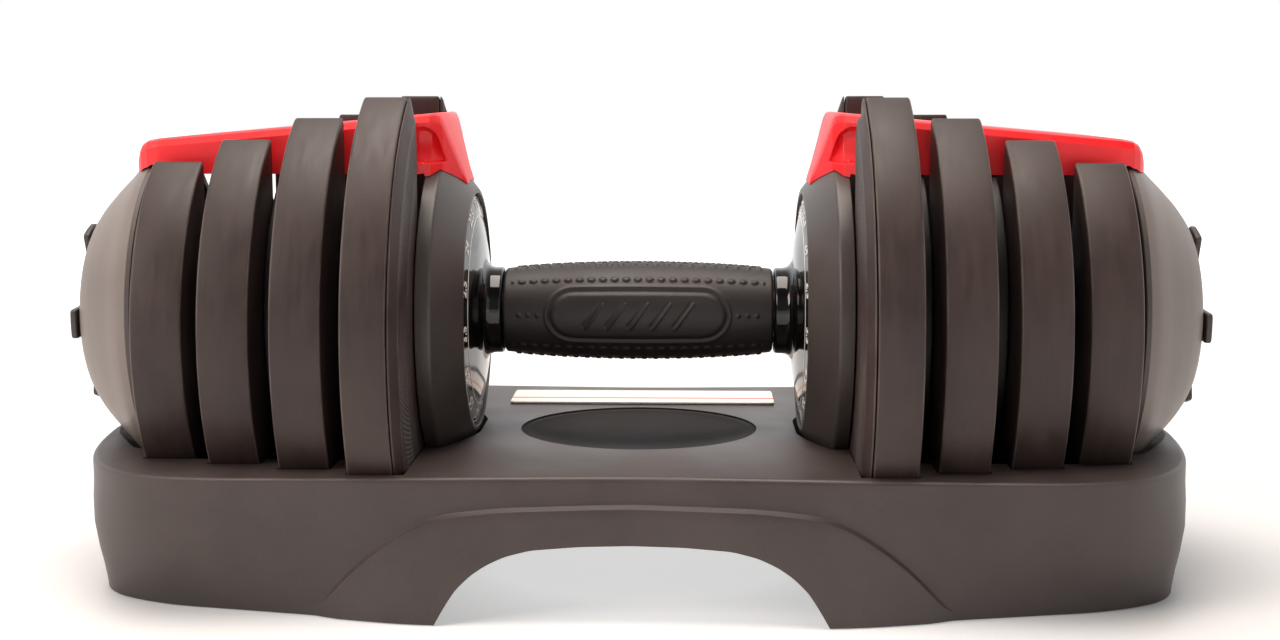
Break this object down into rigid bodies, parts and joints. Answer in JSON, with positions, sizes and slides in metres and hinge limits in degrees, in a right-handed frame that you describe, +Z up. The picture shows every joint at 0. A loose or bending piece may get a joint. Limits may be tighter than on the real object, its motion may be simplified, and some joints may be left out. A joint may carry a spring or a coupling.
{
  "type": "adjustable dumbbell",
  "caption": "Dial-select adjustable dumbbell: slotted round plates, turning dials, red top bridges and a soft grip, resting in its moulded cradle",
  "frame": {"origin": "on the ground, under the middle of the grip", "axes": "+X along the handle, +Z up, -Y towards the person who lifts it"},
  "size_m": [0.4186, 0.1902, 0.1787],
  "materials": {
    "cradle_grey": "moulded, fine grain",
    "plate_coat": "satin textured coating",
    "housing_grey": "moulded, satin",
    "dome_grey": "moulded, satin",
    "gloss_black": "polished moulding with printed numbers",
    "disc_black": "moulded",
    "grip_black": "moulded soft grip",
    "bridge_red": "satin moulding",
    "steel": "plated",
    "label_white": "printed film",
    "foot_rubber": "soft foot"
  },
  "bodies": {
    "cradle": {"cradle_shell": "cradle_grey", "cradle_label": "label_white", "cradle_foot_1": "foot_rubber", "cradle_foot_2": "foot_rubber", "cradle_foot_3": "foot_rubber", "cradle_foot_4": "foot_rubber", "left_plate_1": "plate_coat", "left_plate_5": "plate_coat", "right_plate_1": "plate_coat", "right_plate_5": "plate_coat"},
    "handle": {"handle_shaft": "steel", "grip_sleeve": "grip_black", "left_inner_housing": "housing_grey", "left_dial_bearing": "disc_black", "left_top_bridge": "bridge_red", "left_end_washer": "steel", "left_end_nut": "steel", "left_lock_spring": "steel", "right_inner_housing": "housing_grey", "right_dial_bearing": "disc_black", "right_top_bridge": "bridge_red", "right_end_washer": "steel", "right_end_nut": "steel", "right_lock_spring": "steel"},
    "left_selector": {"left_dial_cone": "gloss_black", "left_selector_tube": "steel", "left_selector_disc_1": "disc_black", "left_selector_disc_2": "disc_black", "left_selector_disc_3": "disc_black", "left_selector_disc_4": "disc_black", "left_outer_dome": "dome_grey", "left_star_knob": "disc_black", "left_end_plug": "disc_black"},
    "left_lock": {"left_lock_pin": "steel"},
    "left_plate_2_body": {"left_plate_2": "plate_coat"},
    "left_plate_3_body": {"left_plate_3": "plate_coat"},
    "left_plate_4_body": {"left_plate_4": "plate_coat"},
    "right_selector": {"right_dial_cone": "gloss_black", "right_selector_tube": "steel", "right_selector_disc_1": "disc_black", "right_selector_disc_2": "disc_black", "right_selector_disc_3": "disc_black", "right_selector_disc_4": "disc_black", "right_outer_dome": "dome_grey", "right_star_knob": "disc_black", "right_end_plug": "disc_black"},
    "right_lock": {"right_lock_pin": "steel"},
    "right_plate_2_body": {"right_plate_2": "plate_coat"},
    "right_plate_3_body": {"right_plate_3": "plate_coat"},
    "right_plate_4_body": {"right_plate_4": "plate_coat"}
  },
  "joints": [
    {"name": "dumbbell_lift", "type": "slide", "parent": "cradle", "child": "handle", "axis": [0, 0, 1], "range_m": [0, 0.2]},
    {"name": "left_dial_turn", "type": "hinge", "parent": "handle", "child": "left_selector", "pos_m": [-0.064, 0, 0.0965], "axis": [1, 0, 0], "continuous": true},
    {"name": "left_lock_drop", "type": "slide", "parent": "handle", "child": "left_lock", "axis": [0, 0, 1], "range_m": [-0.004, 0], "deforming": ["left_lock_spring"]},
    {"name": "left_plate_2_lift", "type": "slide", "parent": "cradle", "child": "left_plate_2_body", "axis": [0, 0, 1], "range_m": [0, 0.2]},
    {"name": "left_plate_3_lift", "type": "slide", "parent": "cradle", "child": "left_plate_3_body", "axis": [0, 0, 1], "range_m": [0, 0.2]},
    {"name": "left_plate_4_lift", "type": "slide", "parent": "cradle", "child": "left_plate_4_body", "axis": [0, 0, 1], "range_m": [0, 0.2]},
    {"name": "right_dial_turn", "type": "hinge", "parent": "handle", "child": "right_selector", "pos_m": [0.064, 0, 0.0965], "axis": [1, 0, 0], "continuous": true},
    {"name": "right_lock_drop", "type": "slide", "parent": "handle", "child": "right_lock", "axis": [0, 0, 1], "range_m": [-0.004, 0], "deforming": ["right_lock_spring"]},
    {"name": "right_plate_2_lift", "type": "slide", "parent": "cradle", "child": "right_plate_2_body", "axis": [0, 0, 1], "range_m": [0, 0.2]},
    {"name": "right_plate_3_lift", "type": "slide", "parent": "cradle", "child": "right_plate_3_body", "axis": [0, 0, 1], "range_m": [0, 0.2]},
    {"name": "right_plate_4_lift", "type": "slide", "parent": "cradle", "child": "right_plate_4_body", "axis": [0, 0, 1], "range_m": [0, 0.2]}
  ],
  "couplings": [
    {"joint": "left_lock_drop", "follows": "dumbbell_lift", "ratio": -0.02},
    {"joint": "left_plate_2_lift", "follows": "dumbbell_lift", "ratio": 1},
    {"joint": "left_plate_3_lift", "follows": "dumbbell_lift", "ratio": 1},
    {"joint": "left_plate_4_lift", "follows": "dumbbell_lift", "ratio": 1},
    {"joint": "right_lock_drop", "follows": "dumbbell_lift", "ratio": -0.02},
    {"joint": "right_plate_2_lift", "follows": "dumbbell_lift", "ratio": 1},
    {"joint": "right_plate_3_lift", "follows": "dumbbell_lift", "ratio": 1},
    {"joint": "right_plate_4_lift", "follows": "dumbbell_lift", "ratio": 1}
  ]
}
